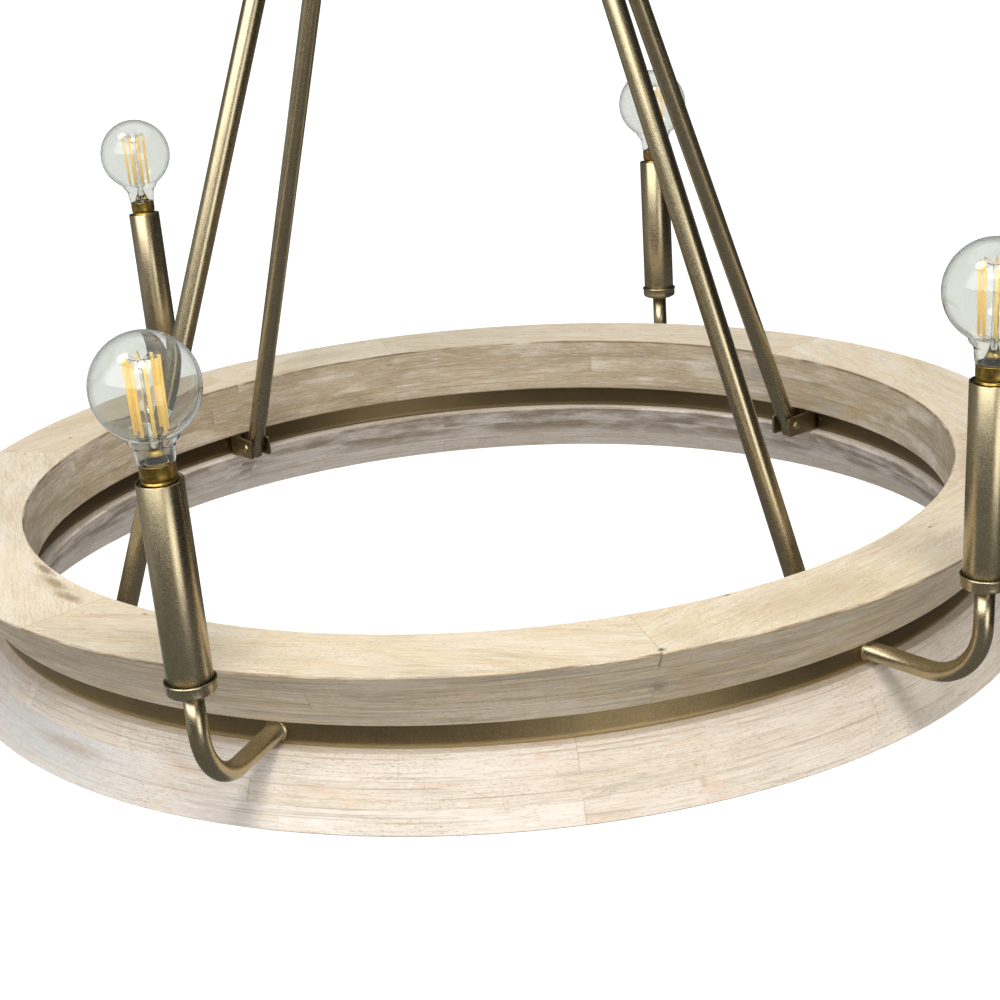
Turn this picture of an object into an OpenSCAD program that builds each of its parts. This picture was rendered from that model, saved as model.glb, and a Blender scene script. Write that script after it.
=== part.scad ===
// Wagon wheel chandelier: two laminated wooden rings on a square steel hoop,
// six candle lights on bent arms, four hanging rods, a hub, a chain and a canopy.
// Origin: centre of the mounting strap's top face, on the ceiling. +Z is up.
// +X runs through the first light and the first rod. All sizes in millimetres.

/* [Hoop] */
// Outer diameter of the square steel hoop between the wooden rings
hoop_d = 973; // [780:1:1200]
// Radial width of the hoop
hoop_w = 25; // [20:1:30]
// Height of the hoop, which is the gap between the rings
hoop_h = 25; // [22:1:32]
// Wall of the hoop's square tube
hoop_wall = 2; // [1.5:0.5:3]

/* [Wooden rings] */
// Thickness of one board layer
layer_h = 19; // [15:1:24]
// Boards that make up one layer
boards = 6; // [4:1:8]
// Upper ring, top face: how far it stands out beyond the hoop
upper_out_top = 48.5; // [38:0.5:60]
// Upper ring, bottom face: how far it stands out beyond the hoop
upper_out_bottom = 12.5; // [8:0.5:20]
// Upper ring, top face: how far it stands in beyond the hoop
upper_in_top = 12.5; // [8:0.5:20]
// Upper ring, bottom face: how far it stands in beyond the hoop
upper_in_bottom = 15.5; // [8:0.5:20]
// Lower ring, top face: how far it stands out beyond the hoop
lower_out_top = 10.5; // [6:0.5:20]
// Lower ring, bottom face: how far it stands out beyond the hoop
lower_out_bottom = 38.5; // [32:0.5:50]
// Lower ring, top face: how far it stands in beyond the hoop
lower_in_top = 11.5; // [6:0.5:20]
// Lower ring, bottom face: how far its inner edge lies outside the hoop's inner face
lower_in_bottom = 23.5; // [0:0.5:28]
// Easing on the rings' outer and inner edges
edge_ease = 1.5; // [0.5:0.5:3]
// Easing on the edges where two layers meet, which shows as a fine line
seam_ease = 0.3; // [0.1:0.1:1]
// Direction of the first board joint in the upper ring's top layer, in degrees
upper_joint_at = -25; // [-30:1:30]
// Direction of the first board joint in the lower ring's bottom layer, in degrees
lower_joint_at = 28; // [-30:1:30]

/* [Rods] */
// Number of hanging rods
rods = 4; // [3:1:4]
// Rod length from pivot to pivot
rod_len = 1010; // [800:5:1250]
// Outside diameter of a rod
rod_d = 16; // [12:0.5:19]
// Wall of a rod
rod_wall = 1.5; // [1:0.5:2.5]
// Rod beyond its lower pivot
rod_foot = 13; // [10:0.5:16]
// Rod beyond its upper pivot
rod_head = 10; // [8:0.5:12]
// Distance from the hoop's inner face to the lower pivot
clevis_reach = 34.5; // [28:0.5:45]
// Distance from the hub's side to the upper pivot
hub_reach = 19; // [17:0.5:26]
// Diameter of the pivot screws
pivot_d = 6; // [4:0.5:8]
// Thickness of a clevis ear
ear_t = 3; // [2:0.5:4]
// Height of a clevis ear
ear_h = 24; // [18:1:24]
// Gap between a rod and each ear
ear_gap = 0.5; // [0.2:0.1:1]

/* [Lights] */
// Number of lights
lights = 6; // [6:1:6]
// Gap between the upper ring's edge and a candle sleeve
candle_gap = 58.5; // [40:0.5:80]
// Outside diameter of an arm's tube
arm_d = 13; // [10:0.5:16]
// Wall of an arm's tube
arm_wall = 2; // [1:0.5:2.5]
// Bend radius of an arm, at the tube's middle
arm_bend = 55; // [35:1:60]
// Height of the cup's underside above the arm's straight stretch
cup_rise = 80.5; // [66:0.5:100]
// Outside diameter of a candle sleeve
sleeve_d = 35; // [34:0.5:40]
// Wall of a candle sleeve
sleeve_wall = 1; // [0.8:0.1:1.5]
// Length of a candle sleeve
sleeve_len = 163.5; // [140:0.5:200]
// Height of a cup
cup_h = 16; // [13:0.5:20]
// Diameter of a bulb's globe
globe_d = 79.5; // [70:0.5:95]
// Diameter of a bulb's metal base
base_d = 26.2; // [26.2:0.1:26.2]
// Height of a bulb's metal base
base_h = 26.5; // [26.5:0.1:26.5]
// How far a bulb's metal base shows above its sleeve
base_shows = 14; // [8:0.5:16]

/* [Hub and chain] */
// Diameter of the hub drum
hub_d = 66; // [60:1:80]
// Height of the hub drum
hub_h = 32; // [28:1:40]
// Wire diameter of a chain link
link_wire = 5; // [4:0.5:6]
// Inside width of a chain link
link_in_w = 13; // [12:0.5:16]
// Inside length of a chain link
link_in_len = 28; // [26:0.5:40]
// Number of chain links
links = 3; // [3:1:3]
// Inside diameter of the two loops' eyes
eye_d = 16; // [15:0.5:20]

/* [Canopy and strap] */
// Diameter of the canopy
canopy_d = 130; // [115:1:150]
// Depth of the canopy
canopy_depth = 24; // [20:1:32]
// Canopy sheet thickness
canopy_t = 1.2; // [1:0.1:2]
// Length of the mounting strap
strap_len = 104; // [100:1:108]
// Width of the mounting strap
strap_w = 20; // [16:1:26]
// Thickness of the mounting strap
strap_t = 2.5; // [2:0.5:4]
// Narrowest screw spacing that the strap fits, in an outlet box
box_spacing_min = 70; // [65:1:72]
// Widest screw spacing that the strap fits, in an outlet box
box_spacing_max = 89; // [86:1:89]
// Width of the strap's slots
slot_w = 4.5; // [4:0.5:5]
// Diameter of the threaded pipe in strap, hub and arms
pipe_d = 9.8; // [9.8:0.1:9.8]
// Travel of the screw collar on its thread
collar_travel = 12; // [6:1:14]

/* [Hidden] */
// clearances
fit = 0.05;             // a thread or pin in its hole, on the radius
slip = 0.3;             // a loose sleeve in its cup, on the radius
seat = 0.1;             // faces that meet across a joint
glue_line = 0.05;       // between the ends of two boards

// hoop and rings
hoop_r = hoop_d / 2;
hoop_in = hoop_r - hoop_w;
hoop_mid = hoop_r - hoop_w / 2;
layers = 3;
ring_h = layers * layer_h;
board_angle = 360 / boards;
screws = 2 * boards;    // wood screws in each ring
screw_r = 2.1;
screw_head_r = 4.2;
screw_head_h = 3;
screw_grip = 4;         // screw beyond the hoop's wall
harness_r = 2.2;

// hub and ceiling stack, downwards from the ceiling
pipe_r = pipe_d / 2;
pipe_bore = pipe_r - 1.5;
neck_r = eye_d / 2 + link_wire;
collar_h = 8;
collar_lip = 6;
neck_top = -canopy_depth + 10;
neck_bottom = -canopy_depth - collar_h - collar_travel - 2;
nipple_len = 26;
eye_r = (eye_d + link_wire) / 2;         // middle of an eye's wire
eye_sink = 3;                            // how far an eye runs up into its neck
link_r = (link_in_w + link_wire) / 2;    // middle of a link's end
link_straight = link_in_len - link_in_w;
hang_gap = 0.1;                          // between two wires that hang in each other
pitch = link_straight + 2 * link_r - link_wire - hang_gap;
eye_z = neck_bottom + eye_sink - 2 * eye_r;    // middle of the canopy loop's lowest wire
function hinge_z(i) = eye_z - i * pitch;       // the wire that link i + 1 hangs from
hub_eye_top = hinge_z(links) + link_wire + hang_gap;
hub_neck_r = 9;
hub_neck_top = hub_eye_top - 2 * eye_r + eye_sink;
hub_neck_h = 14;
hub_top = hub_neck_top - hub_neck_h;
hub_wall = 3;
hub_cap_t = 3;
hub_cap_lip = 3;
hub_nut_h = 8;

// rods
ear_in = rod_d / 2 + ear_gap;            // half the gap between two ears
ear_out = ear_in + ear_t;
pivot_r = pivot_d / 2;
hub_pivot_r = hub_d / 2 + hub_reach;
ring_pivot_r = hoop_in - clevis_reach;
rod_lean = asin((ring_pivot_r - hub_pivot_r) / rod_len);
hub_pivot_z = hub_top - hub_h / 2;
ring_pivot_z = hub_pivot_z - rod_len * cos(rod_lean);
ear_end = 10;                            // ear beyond its pivot
plate_t = 3;                             // clevis base plate
plate_side = 9;                          // base plate beyond each ear
rivet_r = 2;
rivet_head_r = 3.5;
rivet_head_h = 1.5;
rivet_at = ear_out + plate_side / 2;
screw_cap_r = 5.5;
screw_cap_h = 3.6;
nut_h = 5;
nut_r = 5.5;
// the flat base plate touches the curved hoop at its two sides
plate_back = sqrt(pow(hoop_in, 2) - pow(ear_out + plate_side, 2)) - fit;

// heights that hang from the lower pivots
hoop_z = ring_pivot_z;                   // middle of the hoop
upper_bottom = hoop_z + hoop_h / 2;
upper_top = upper_bottom + ring_h;
lower_top = hoop_z - hoop_h / 2;

// lights
upper_r = hoop_r + upper_out_top;
light_r = upper_r + candle_gap + sleeve_d / 2;
arm_r = arm_d / 2;
arm_bore = arm_r - arm_wall;
arm_in = 3.5;                            // arm inside the hoop's outer face
weld_ring_r = arm_r + 1.8;
weld_ring_t = 3;
cup_z = hoop_z + cup_rise;               // cup's underside
cup_floor = 2.5;
cup_ledge = 6.5;                         // the sleeve stands this far above the underside
cup_in_r = sleeve_d / 2 + slip;
cup_wall = 1;
cup_foot_r = 9;
cup_ledge_w = 2;                         // inner step that the sleeve stands on
rim_r = 1.1;
cup_nut_h = 4;
cup_nut_r = 8;
sleeve_z = cup_z + cup_ledge;
sleeve_top = sleeve_z + sleeve_len;
base_r = base_d / 2;
base_tip = 3.5;                          // insulator and contact below the base's shell
base_top = sleeve_top + base_shows;
tip_z = base_top - base_h - base_tip;
socket_r = sleeve_d / 2 - sleeve_wall - 1;
socket_rim = sleeve_top - 3;
socket_bore = base_r + 0.4;
socket_h = 60;
socket_z = socket_rim - socket_h;
socket_thread = 10;
stem_top = socket_z + socket_thread - 2;
globe_r = globe_d / 2;
glass_t = 1;
neck_foot_r = base_r + 0.2;
// the neck is an arc, upright at the base and tangent to the globe
neck_h = 15;                             // from base to where the globe would end
globe_z = base_top + neck_h + globe_r;
fillet_r = (pow(globe_z - base_top, 2) + pow(neck_foot_r, 2) - pow(globe_r, 2))
    / (2 * (globe_r - neck_foot_r));
fillet_x = neck_foot_r + fillet_r;
meet = (globe_z - base_top) / (fillet_r + globe_r);    // sine of the arc's angle

$fn = 96;

// ---------- helpers ----------

module at_rod(i) rotate([0, 0, (i - 1) * 360 / rods]) children();
module at_light(i) rotate([0, 0, (i - 1) * 360 / lights]) translate([light_r, 0, 0]) children();

// a straight tube along +Z
module pipe(outer, inner, len) {
    linear_extrude(len) difference() {
        circle(outer);
        circle(inner);
    }
}

// a hexagonal nut, width across corners 2 * r
module hex_nut(r, hole, h) {
    linear_extrude(h) difference() {
        circle(r, $fn = 6);
        circle(hole);
    }
}

// a round wire bent into an eye in the XZ plane
module eye() {
    rotate([90, 0, 0]) rotate_extrude() translate([eye_r, 0]) circle(link_wire / 2, $fn = 32);
}

// ---------- ceiling ----------

module mounting_strap() {
    slot_at = (box_spacing_min + box_spacing_max) / 4;
    slot_run = (box_spacing_max - box_spacing_min) / 2;
    color("#8d8f90") translate([0, 0, -strap_t]) linear_extrude(strap_t) difference() {
        square([strap_len, strap_w], center = true);
        circle(pipe_r + fit);
        for (side = [-1, 1]) translate([side * slot_at, 0]) {
            square([slot_run, slot_w], center = true);
            for (end = [-1, 1]) translate([end * slot_run / 2, 0]) circle(slot_w / 2);
        }
    }
}

module strap_nut() {
    color("#8d8f90") translate([0, 0, -strap_t - 4]) hex_nut(8.5, pipe_r + fit, 4);
}

module strap_nipple() {
    color("#9a9c9d") translate([0, 0, -nipple_len]) pipe(pipe_r, pipe_bore, nipple_len);
}

// a spun dish: a short upright rim, then a quarter ellipse in to a flat floor
module canopy() {
    rim = canopy_d / 2;
    flat = 24;
    lip = 3;
    function ogee(inset) = [for (t = [0:15:90])
        [flat + (rim - inset - flat) * cos(t), -lip - (canopy_depth - lip - inset) * sin(t)]];
    color("#6f6348") difference() {
        rotate_extrude() polygon(concat([[0, 0], [rim, 0]], ogee(0), [[0, -canopy_depth]]));
        rotate_extrude() polygon(concat(
            [[0, 1], [rim - canopy_t, 1], [rim - canopy_t, -lip]],
            ogee(canopy_t), [[0, -canopy_depth + canopy_t]]));
        translate([0, 0, -canopy_depth - 1]) cylinder(r = neck_r + 0.4, h = 3 + canopy_t);
    }
}

module canopy_loop() {
    color("#6b5f45") difference() {
        union() {
            translate([0, 0, neck_bottom]) cylinder(r = neck_r, h = neck_top - neck_bottom);
            translate([0, 0, eye_z + eye_r]) eye();
        }
        translate([0, 0, neck_bottom - eye_sink]) cylinder(r = pipe_bore, h = 60);
        translate([0, 0, -nipple_len - 0.5]) cylinder(r = pipe_r + fit, h = 60);
    }
}

module screw_collar() {
    r = neck_r + collar_lip;
    color("#6b5f45") translate([0, 0, -canopy_depth - collar_h]) difference() {
        rotate_extrude() polygon([
            [0, 0], [r - 2, 0], [r, 2], [r, collar_h - 2], [r - 1, collar_h], [0, collar_h]]);
        translate([0, 0, -1]) cylinder(r = neck_r + fit, h = collar_h + 2);
    }
}

// ---------- chain and hub ----------

// an oval link in the XZ plane, its top wire's middle at the origin
module link() {
    translate([0, 0, -link_r]) {
        for (side = [-1, 1]) translate([side * link_r, 0, -link_straight])
            cylinder(r = link_wire / 2, h = link_straight, $fn = 32);
        for (end = [0, 1]) translate([0, 0, -end * link_straight]) rotate([90, 0, 0])
            rotate([0, 0, end * 180]) rotate_extrude(angle = 180)
                translate([link_r, 0]) circle(link_wire / 2, $fn = 32);
    }
}

module chain_link(i) {
    color("#6b5f45") translate([0, 0, hinge_z(i - 1) + link_wire + hang_gap])
        rotate([0, 0, i % 2 * 90]) link();
}

module hub_loop() {
    stem_end = hub_top - hub_h - hub_cap_t - hub_nut_h + 3;
    turn = (links + 1) % 2 * 90;
    color("#6b5f45") difference() {
        union() {
            translate([0, 0, hub_eye_top - eye_r]) rotate([0, 0, turn]) eye();
            translate([0, 0, hub_top]) cylinder(r1 = hub_neck_r + 3, r2 = hub_neck_r, h = 4);
            translate([0, 0, hub_top + 4]) cylinder(r = hub_neck_r, h = hub_neck_h - 4);
            translate([0, 0, stem_end]) cylinder(r = pipe_r, h = hub_top - stem_end + 1);
        }
        translate([0, 0, stem_end - 1]) cylinder(r = pipe_bore, h = hub_neck_top - stem_end + 3);
    }
}

// a drum with a pair of clevis ears for each rod
module hub_body() {
    bottom = hub_top - hub_h;
    color("#6f6348") difference() {
        union() {
            translate([0, 0, bottom]) rotate_extrude() polygon([
                [0, 0], [hub_d / 2, 0], [hub_d / 2, hub_h - 3], [hub_d / 2 - 3, hub_h], [0, hub_h]]);
            for (i = [1:rods]) at_rod(i) for (side = [-1, 1])
                translate([hub_pivot_r, side * (ear_in + ear_t / 2), hub_pivot_z])
                    rotate([90, 0, 180]) linear_extrude(ear_t, center = true) {
                        circle(ear_end);
                        translate([0, -ear_end]) square([hub_reach + 2 * hub_wall, 2 * ear_end]);
                    }
        }
        translate([0, 0, bottom - 1]) cylinder(r = hub_d / 2 - hub_wall, h = hub_h - hub_wall);
        translate([0, 0, hub_top - hub_wall - 2]) cylinder(r = pipe_r + fit, h = hub_wall + 4);
        for (i = [1:rods]) at_rod(i) translate([hub_pivot_r, 0, hub_pivot_z]) rotate([90, 0, 0])
            cylinder(r = pivot_r + fit, h = 4 * ear_out, center = true);
    }
}

module hub_cap() {
    bottom = hub_top - hub_h - hub_cap_t;
    inner = hub_d / 2 - hub_wall - 0.1;
    color("#6f6348") translate([0, 0, bottom]) difference() {
        rotate_extrude() polygon([
            [0, 0], [hub_d / 2 - 3, 0], [hub_d / 2, hub_cap_t], [inner, hub_cap_t],
            [inner, hub_cap_t + hub_cap_lip], [inner - 2, hub_cap_t + hub_cap_lip],
            [inner - 2, hub_cap_t], [0, hub_cap_t]]);
        translate([0, 0, -1]) cylinder(r = pipe_r + fit, h = hub_cap_t + 2);
    }
}

// a turned cap nut that closes the hub from below
module hub_nut() {
    color("#6b5f45") translate([0, 0, hub_top - hub_h - hub_cap_t - hub_nut_h]) difference() {
        rotate_extrude() polygon([
            [0, -3], [4, -2.5], [7.5, 0], [9, 3], [9, hub_nut_h - 1], [8, hub_nut_h], [0, hub_nut_h]]);
        translate([0, 0, 2]) cylinder(r = pipe_r + fit, h = hub_nut_h);
    }
}

// ---------- rods and their clevises ----------

module rod(i) {
    color("#7b6f52") at_rod(i) translate([ring_pivot_r, 0, ring_pivot_z])
        rotate([0, -rod_lean, 0]) difference() {
            translate([0, 0, -rod_foot]) pipe(rod_d / 2, rod_d / 2 - rod_wall,
                rod_foot + rod_len + rod_head);
            for (z = [0, rod_len]) translate([0, 0, z]) rotate([90, 0, 0])
                cylinder(r = pivot_r + fit, h = 2 * rod_d, center = true);
        }
}

// a bent U bracket: a base plate on the hoop and two round-ended ears
module ring_clevis(i) {
    plate_w = 2 * (ear_out + plate_side);
    color("#6b5f45") at_rod(i) translate([0, 0, ring_pivot_z]) difference() {
        union() {
            translate([plate_back - plate_t, -plate_w / 2, -ear_h / 2])
                cube([plate_t, plate_w, ear_h]);
            for (side = [-1, 1]) translate([ring_pivot_r, side * (ear_in + ear_t / 2), 0])
                rotate([90, 0, 0]) linear_extrude(ear_t, center = true) {
                    circle(ear_end);
                    translate([0, -ear_end]) square([ear_end, 2 * ear_end]);
                    translate([ear_end, -ear_h / 2])
                        square([plate_back - ring_pivot_r - ear_end, ear_h]);
                }
        }
        translate([ring_pivot_r, 0, 0]) rotate([90, 0, 0])
            cylinder(r = pivot_r + fit, h = 4 * ear_out, center = true);
        for (side = [-1, 1]) translate([plate_back - plate_t - 1, side * rivet_at, 0])
            rotate([0, 90, 0]) cylinder(r = rivet_r + fit, h = plate_t + 2);
    }
}

// where a rivet's tail spreads inside the hoop
rivet_tail = sqrt(pow(hoop_in + hoop_wall, 2) - pow(rivet_at - rivet_head_r, 2)) + fit;

module clevis_rivets() {
    front = plate_back - plate_t;
    color("#8a7d5e") for (i = [1:rods]) at_rod(i) for (side = [-1, 1])
        translate([0, side * rivet_at, ring_pivot_z]) rotate([0, 90, 0]) {
            translate([0, 0, front - rivet_head_h]) rotate_extrude() polygon([
                [0, 0], [rivet_head_r - 1.5, 0], [rivet_head_r, rivet_head_h], [0, rivet_head_h]]);
            translate([0, 0, front - 0.5]) cylinder(r = rivet_r, h = rivet_tail - front + 1);
            translate([0, 0, rivet_tail]) cylinder(r = rivet_head_r - 0.5, h = 1);
        }
}

// heads alternate from side to side as the rods go round
module pivot_place(i, r, z) at_rod(i) translate([r, 0, z]) rotate([0, 0, i % 2 * 180])
    rotate([90, 0, 0]) children();

module pivot_screw() {
    translate([0, 0, ear_out]) rotate_extrude() polygon([
        [0, 0], [screw_cap_r, 0], [screw_cap_r - 0.4, 1.8], [screw_cap_r - 1.8, 3.2],
        [screw_cap_r - 3.5, screw_cap_h], [0, screw_cap_h]]);
    translate([0, 0, -ear_out - nut_h - 1.5]) cylinder(r = pivot_r, h = 2 * ear_out + nut_h + 2);
}

module pivot_screws() {
    color("#a39a80") for (i = [1:rods]) {
        pivot_place(i, ring_pivot_r, ring_pivot_z) pivot_screw();
        pivot_place(i, hub_pivot_r, hub_pivot_z) pivot_screw();
    }
}

module pivot_nuts() {
    color("#a39a80") for (i = [1:rods]) {
        pivot_place(i, ring_pivot_r, ring_pivot_z) translate([0, 0, -ear_out - nut_h])
            hex_nut(nut_r, pivot_r + fit, nut_h);
        pivot_place(i, hub_pivot_r, hub_pivot_z) translate([0, 0, -ear_out - nut_h])
            hex_nut(nut_r, pivot_r + fit, nut_h);
    }
}

// ---------- hoop and rings ----------

// directions of the wood screws: two in each board of the layer they hold
function screw_angle(joint, i) = joint + board_angle / 4 + i * board_angle / 2;

module hoop() {
    corner = 2;
    a = hoop_w / 2;
    b = hoop_h / 2;
    color("#6f6348") difference() {
        translate([0, 0, hoop_z]) rotate_extrude($fn = 180) translate([hoop_mid, 0]) difference() {
            polygon([
                [-a + corner, -b], [a - corner, -b], [a - 0.6, -b + 0.6], [a, -b + corner],
                [a, b - corner], [a - 0.6, b - 0.6], [a - corner, b],
                [-a + corner, b], [-a + 0.6, b - 0.6], [-a, b - corner],
                [-a, -b + corner], [-a + 0.6, -b + 0.6]]);
            square([hoop_w - 2 * hoop_wall, hoop_h - 2 * hoop_wall], center = true);
        }
        for (i = [1:lights]) at_light(i) translate([hoop_mid - light_r, 0, hoop_z])
            rotate([0, 90, 0]) cylinder(r = arm_r + fit, h = hoop_w);
        for (i = [1:rods]) at_rod(i) for (side = [-1, 1])
            translate([hoop_in - 5, side * rivet_at, hoop_z]) rotate([0, 90, 0])
                cylinder(r = rivet_r + fit, h = hoop_w / 2);
        for (i = [0:screws - 1]) {
            rotate([0, 0, screw_angle(upper_joint_at, i)]) translate([hoop_mid, 0, hoop_z])
                cylinder(r = screw_r + fit, h = hoop_h);
            rotate([0, 0, screw_angle(lower_joint_at, i)]) translate([hoop_mid, 0, hoop_z - hoop_h])
                cylinder(r = screw_r + fit, h = hoop_h);
        }
    }
}

// the lights' wiring lies as one loop on the floor of the hoop
module hoop_wiring() {
    color("#2b2b2b") translate([0, 0, lower_top + hoop_wall + harness_r])
        rotate_extrude($fn = 90) translate([hoop_in + hoop_wall + harness_r + 1.5, 0])
            circle(harness_r, $fn = 16);
}

// one wood screw, head down at the origin, running up
module wood_screw() {
    rotate_extrude() polygon([
        [0, 0], [screw_head_r, 0], [screw_r, screw_head_h],
        [screw_r, layer_h + hoop_wall + screw_grip - 2], [0, layer_h + hoop_wall + screw_grip]]);
}

module ring_screws() {
    color("#9a9c9d") for (i = [0:screws - 1]) {
        rotate([0, 0, screw_angle(upper_joint_at, i)])
            translate([hoop_mid, 0, upper_bottom + layer_h]) rotate([180, 0, 0]) wood_screw();
        rotate([0, 0, screw_angle(lower_joint_at, i)])
            translate([hoop_mid, 0, lower_top - layer_h]) wood_screw();
    }
}

// holes for the wood screws through the layer that touches the hoop
module screw_holes(joint, z, up) {
    slope = (screw_head_r - screw_r) / screw_head_h;
    wide = screw_head_r + 0.3;
    shank = screw_r + fit;
    for (i = [0:screws - 1]) rotate([0, 0, screw_angle(joint, i)]) translate([hoop_mid, 0, z])
        rotate([up ? 180 : 0, 0, 0]) rotate_extrude() polygon([
            [0, -1], [wide + slope, -1], [shank, (wide - shank) / slope],
            [shank, layer_h + 1], [0, layer_h + 1]]);
}

// the turn that one board takes up, less its share of a glue line
board_turn = board_angle - glue_line / hoop_in * 180 / PI;

// one layer of a ring: boards end to end, between the heights z0 and z1
module layer(inner0, outer0, inner1, outer1, z0, z1, joint, ease0, ease1) {
    for (i = [0:boards - 1]) rotate([0, 0, joint + i * board_angle])
        rotate_extrude(angle = board_turn, $fn = 180) polygon([
            [inner0 + ease0, z0], [outer0 - ease0, z0], [outer0, z0 + ease0],
            [outer1, z1 - ease1], [outer1 - ease1, z1], [inner1 + ease1, z1],
            [inner1, z1 - ease1], [inner0, z0 + ease0]]);
}

// edge radii of the upper and lower ring at a share k of their height, from the top
function upper_outer(k) = hoop_r + upper_out_top + (upper_out_bottom - upper_out_top) * k;
function upper_inner(k) = hoop_in - upper_in_top - (upper_in_bottom - upper_in_top) * k;
function lower_outer(k) = hoop_r + lower_out_top + (lower_out_bottom - lower_out_top) * k;
function lower_inner(k) = hoop_in - lower_in_top + (lower_in_bottom + lower_in_top) * k;

// layers count from the top; the middle one's joints lie between the others'
module upper_layer(i) {
    k0 = i / layers;
    k1 = (i - 1) / layers;
    z1 = upper_top - (i - 1) * layer_h;
    joint = upper_joint_at + (i % 2 == 0 ? board_angle / 2 : 0);
    color("#d9cbb0") difference() {
        layer(upper_inner(k0), upper_outer(k0), upper_inner(k1), upper_outer(k1),
            z1 - layer_h, z1, joint, i == layers ? edge_ease : seam_ease, i == 1 ? edge_ease : seam_ease);
        if (i == layers) screw_holes(upper_joint_at, upper_bottom + layer_h, true);
    }
}

module lower_layer(i) {
    k0 = i / layers;
    k1 = (i - 1) / layers;
    z1 = lower_top - (i - 1) * layer_h;
    joint = lower_joint_at + (i % 2 == 0 ? board_angle / 2 : 0);
    color("#d2c6ae") difference() {
        layer(lower_inner(k0), lower_outer(k0), lower_inner(k1), lower_outer(k1),
            z1 - layer_h, z1, joint, i == layers ? edge_ease : seam_ease, i == 1 ? edge_ease : seam_ease);
        if (i == 1) screw_holes(lower_joint_at, lower_top - layer_h, false);
    }
}

// ---------- lights ----------

// out of the hoop, through a quarter bend and up into a threaded stem
module arm(i) {
    out_len = light_r - arm_bend - hoop_r + arm_in;
    color("#7b6f52") at_light(i) {
        translate([hoop_r - arm_in - light_r, 0, hoop_z]) rotate([0, 90, 0])
            pipe(arm_r, arm_bore, out_len);
        translate([hoop_r - light_r, 0, hoop_z]) rotate([0, 90, 0])
            pipe(weld_ring_r, arm_r, weld_ring_t);
        translate([-arm_bend, 0, hoop_z + arm_bend]) rotate([90, 0, 0]) rotate([0, 0, -90])
            rotate_extrude(angle = 90) translate([arm_bend, 0]) difference() {
                circle(arm_r);
                circle(arm_bore);
            }
        translate([0, 0, hoop_z + arm_bend]) pipe(arm_r, arm_bore, cup_rise - arm_bend);
        translate([0, 0, cup_z]) pipe(pipe_r, pipe_bore, stem_top - cup_z);
        translate([0, 0, cup_z - 2]) pipe(arm_r, pipe_bore, 2);
    }
}

// a turned cup: flat foot, round shoulder, upright wall and a rolled rim
module cup(i) {
    outer = cup_in_r + cup_wall;
    turn = outer - cup_foot_r;
    step = cup_in_r - cup_ledge_w;
    shoulder = [for (t = [-90:15:0]) [cup_foot_r + turn * cos(t), turn * 0.75 * (1 + sin(t))]];
    color("#7b6f52") at_light(i) translate([0, 0, cup_z]) {
        difference() {
            rotate_extrude() polygon(concat([[0, 0]], shoulder, [[outer, cup_h - rim_r], [0, cup_h - rim_r]]));
            translate([0, 0, cup_ledge]) cylinder(r = cup_in_r, h = cup_h);
            translate([0, 0, cup_floor]) rotate_extrude() polygon([
                [0, 0], [cup_foot_r, 0], [step - 2, 1.2], [step, cup_ledge - cup_floor],
                [step, cup_h], [0, cup_h]]);
            translate([0, 0, -1]) cylinder(r = pipe_r + fit, h = cup_floor + 2);
        }
        translate([0, 0, cup_h - rim_r]) rotate_extrude() translate([outer, 0]) difference() {
            circle(rim_r, $fn = 32);
            translate([-2 * rim_r - cup_wall, -2 * rim_r]) square([2 * rim_r, 4 * rim_r]);
        }
    }
}

module cup_nuts() {
    color("#a39a80") for (i = [1:lights]) at_light(i)
        translate([0, 0, cup_z + cup_floor]) hex_nut(cup_nut_r, pipe_r + fit, cup_nut_h);
}

module sleeve(i) {
    color("#7b6f52") at_light(i) translate([0, 0, sleeve_z])
        pipe(sleeve_d / 2, sleeve_d / 2 - sleeve_wall, sleeve_len);
}

// lampholders: threaded on the arm's stem, open at the top for the bulb's base
module sockets() {
    color("#3a3632") for (i = [1:lights]) at_light(i) translate([0, 0, socket_z]) difference() {
        rotate_extrude() polygon([
            [0, 0], [socket_r - 4, 0], [socket_r, 5], [socket_r, socket_h], [0, socket_h]]);
        translate([0, 0, -1]) cylinder(r = pipe_r + fit, h = socket_thread + 1);
        translate([0, 0, tip_z - seat - socket_z]) cylinder(r = socket_bore, h = socket_h);
    }
}

// the neck's outline, inset by the glass for the inside
function neck_line(inset) = [for (s = [0:1/6:1])
    let (z = s * meet * fillet_r)
    [fillet_x - sqrt(pow(fillet_r, 2) - pow(z, 2)) - inset, base_top + z]];

module bulb_outline(inset, z0, r0) {
    sphere(r = globe_r - inset);
    translate([0, 0, -globe_z]) rotate_extrude() polygon(concat(
        [[0, z0], [r0, z0]], neck_line(inset), [[0, base_top + meet * fillet_r]]));
}

// a hollow glass globe with its neck, cemented into a metal screw base
module bulb(i) {
    color("#dfe6e8", 0.6) at_light(i) {
        translate([0, 0, globe_z]) difference() {
            bulb_outline(0, base_top - 1, neck_foot_r);
            bulb_outline(glass_t, base_top + 1, neck_foot_r - glass_t);
        }
        translate([0, 0, tip_z]) rotate_extrude() polygon([
            [0, 0], [4, 0], [5, 1], [base_r - 1, base_tip], [base_r, base_tip + 1],
            [base_r, base_h + base_tip - 0.5], [0, base_h + base_tip - 0.5]]);
    }
}

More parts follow.
